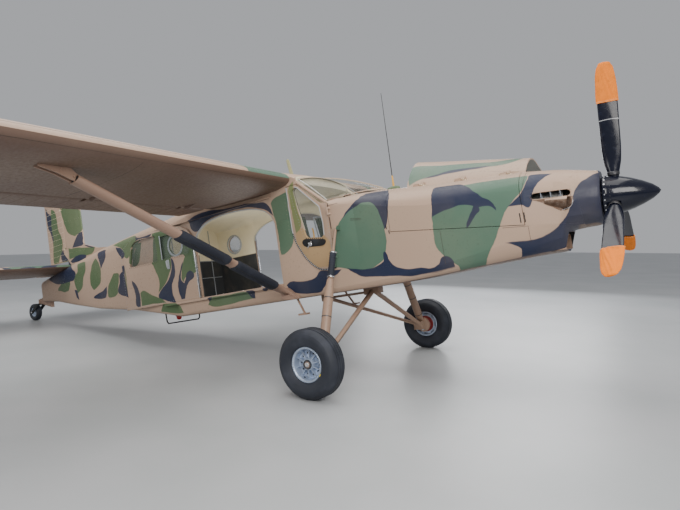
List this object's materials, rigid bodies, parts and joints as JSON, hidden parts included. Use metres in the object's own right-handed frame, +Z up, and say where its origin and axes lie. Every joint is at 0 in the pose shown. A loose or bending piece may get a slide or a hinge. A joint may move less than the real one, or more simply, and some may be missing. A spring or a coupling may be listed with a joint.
{
  "type": "high-wing utility transport plane",
  "caption": "High-wing turboprop utility plane in camouflage, parked on its tail wheel, with sliding cabin doors, strutted wings and covered propeller tips.",
  "frame": {"origin": "centre of the footprint of the whole plane, on the floor", "axes": "+X towards the nose, +Y to port, +Z up; the plane leans back 10.1 degrees as parked"},
  "size_m": [10.9576, 15.138, 3.38],
  "materials": {
    "painted_skin": "satin camouflage paint of green, tan and near-black patches, tan below",
    "painted_metal": "satin tan paint",
    "black_paint": "glossy black paint",
    "cockpit_black": "matt black paint",
    "engine_metal": "heat-stained steel",
    "dark_steel": "darkened steel",
    "tyre_rubber": "worn black rubber with circumferential grooves",
    "wheel_silver": "painted silver casting",
    "window_glass": "clear acrylic",
    "cover_fabric": "orange canvas",
    "seat_fabric": "dark green canvas"
  },
  "bodies": {
    "airframe": {"belly_pan": "painted_skin", "cabin_roof": "painted_skin", "cockpit_shell": "painted_skin", "windscreen": "window_glass", "tailplane": "painted_skin", "rear_fuselage": "painted_skin", "fin": "painted_skin", "engine": "engine_metal", "upper_cowl": "painted_skin", "lower_cowl": "painted_skin", "nose_ring": "black_paint", "keel_tie": "painted_metal", "tail_leg": "painted_metal", "instrument_panel": "cockpit_black", "whip_aerial": "painted_metal", "blade_aerial": "painted_metal", "belly_aerial": "dark_steel", "door_post_port": "painted_skin", "door_post_starboard": "painted_skin", "cabin_side_port": "painted_skin", "cabin_side_starboard": "painted_skin", "wing_port": "painted_skin", "wing_starboard": "painted_skin", "wing_strut_port": "painted_metal", "wing_strut_starboard": "painted_metal", "exhaust_port": "engine_metal", "exhaust_starboard": "engine_metal", "gear_leg_port": "painted_metal", "gear_leg_starboard": "painted_metal", "gear_vee_port": "painted_metal", "gear_vee_starboard": "painted_metal", "pilot_seat_port": "seat_fabric", "pilot_seat_starboard": "seat_fabric", "entry_step_port": "painted_metal", "entry_step_starboard": "painted_metal"},
    "propeller": {"spinner": "black_paint", "blade_a": "black_paint", "blade_b": "black_paint", "blade_c": "black_paint", "blade_cover_a": "cover_fabric", "blade_cover_b": "cover_fabric", "blade_cover_c": "cover_fabric"},
    "main_wheel_port": {"main_tyre_port": "tyre_rubber", "main_rim_port": "wheel_silver"},
    "main_wheel_starboard": {"main_tyre_starboard": "tyre_rubber", "main_rim_starboard": "wheel_silver"},
    "tail_steering": {"tail_fork": "dark_steel"},
    "tail_wheel_body": {"tail_wheel": "tyre_rubber"},
    "rudder_body": {"rudder": "painted_skin"},
    "elevator_body": {"elevator": "painted_skin"},
    "flap_port_body": {"flap_port": "painted_skin"},
    "aileron_port_body": {"aileron_port": "painted_skin"},
    "pilot_door_port_body": {"pilot_door_port": "painted_skin"},
    "sliding_door_port_body": {"sliding_door_port": "painted_skin"},
    "cowl_door_port_body": {"cowl_door_port": "painted_skin"},
    "flap_starboard_body": {"flap_starboard": "painted_skin"},
    "aileron_starboard_body": {"aileron_starboard": "painted_skin"},
    "pilot_door_starboard_body": {"pilot_door_starboard": "painted_skin"},
    "sliding_door_starboard_body": {"sliding_door_starboard": "painted_skin"},
    "cowl_door_starboard_body": {"cowl_door_starboard": "painted_skin"}
  },
  "joints": [
    {"name": "propeller_spin", "type": "hinge", "parent": "airframe", "child": "propeller", "pos_m": [5.09411, 0, 2.01687], "axis": [0.9966, 0, 0.0819], "continuous": true},
    {"name": "main_wheel_port_spin", "type": "hinge", "parent": "airframe", "child": "main_wheel_port", "pos_m": [2.51315, 1.5, 0.3565], "axis": [0, 1, 0], "continuous": true},
    {"name": "main_wheel_starboard_spin", "type": "hinge", "parent": "airframe", "child": "main_wheel_starboard", "pos_m": [2.51315, -1.5, 0.3565], "axis": [0, 1, 0], "continuous": true},
    {"name": "tail_wheel_steer", "type": "hinge", "parent": "airframe", "child": "tail_steering", "pos_m": [-5.08685, 0, 0.33], "axis": [0, 0, 1], "range_deg": [-25, 25]},
    {"name": "tail_wheel_spin", "type": "hinge", "parent": "tail_steering", "child": "tail_wheel_body", "pos_m": [-5.28685, 0, 0.165], "axis": [0, 1, 0], "continuous": true},
    {"name": "rudder_swing", "type": "hinge", "parent": "airframe", "child": "rudder_body", "pos_m": [-4.09588, 0, 1.19451], "axis": [-0.1754, 0, 0.9845], "range_deg": [-25, 25]},
    {"name": "elevator_swing", "type": "hinge", "parent": "airframe", "child": "elevator_body", "pos_m": [-4.9335, 0, 0.93865], "axis": [0, 1, 0], "range_deg": [-20, 28]},
    {"name": "flap_port_swing", "type": "hinge", "parent": "airframe", "child": "flap_port_body", "pos_m": [0.18059, 2.43444, 2.09742], "axis": [0.0031, -0.9998, -0.0172], "range_deg": [0, 38]},
    {"name": "flap_starboard_swing", "type": "hinge", "parent": "airframe", "child": "flap_starboard_body", "pos_m": [0.18059, -2.43444, 2.09742], "axis": [-0.0031, -0.9998, 0.0172], "range_deg": [0, 38]},
    {"name": "aileron_port_swing", "type": "hinge", "parent": "airframe", "child": "aileron_port_body", "pos_m": [0.17018, 5.83392, 2.15584], "axis": [0.0031, -0.9998, -0.0172], "range_deg": [-20, 20]},
    {"name": "aileron_starboard_swing", "type": "hinge", "parent": "airframe", "child": "aileron_starboard_body", "pos_m": [0.17018, -5.83392, 2.15584], "axis": [-0.0031, -0.9998, 0.0172], "range_deg": [-20, 20]},
    {"name": "pilot_door_port_swing", "type": "hinge", "parent": "airframe", "child": "pilot_door_port_body", "pos_m": [2.26527, 0.638, 1.26615], "axis": [0.1754, 0, -0.9845], "range_deg": [0, 60]},
    {"name": "pilot_door_starboard_swing", "type": "hinge", "parent": "airframe", "child": "pilot_door_starboard_body", "pos_m": [2.26527, -0.638, 1.26615], "axis": [-0.1754, 0, 0.9845], "range_deg": [0, 60]},
    {"name": "cowl_door_port_swing", "type": "hinge", "parent": "airframe", "child": "cowl_door_port_body", "pos_m": [3.53275, 0.06, 2.25926], "axis": [-0.9978, 0, -0.0659], "range_deg": [0, 65]},
    {"name": "cowl_door_starboard_swing", "type": "hinge", "parent": "airframe", "child": "cowl_door_starboard_body", "pos_m": [3.53275, -0.06, 2.25926], "axis": [-0.9978, 0, -0.0659], "range_deg": [0, 65]},
    {"name": "sliding_door_port_slide", "type": "slide", "parent": "airframe", "child": "sliding_door_port_body", "axis": [0.9845, 0, 0.1754], "range_m": [0, 1.42]},
    {"name": "sliding_door_starboard_slide", "type": "slide", "parent": "airframe", "child": "sliding_door_starboard_body", "axis": [0.9845, 0, 0.1754], "range_m": [0, 1.42]}
  ],
  "couplings": [
    {"joint": "flap_starboard_swing", "follows": "flap_port_swing", "ratio": 1},
    {"joint": "aileron_starboard_swing", "follows": "aileron_port_swing", "ratio": -1}
  ]
}
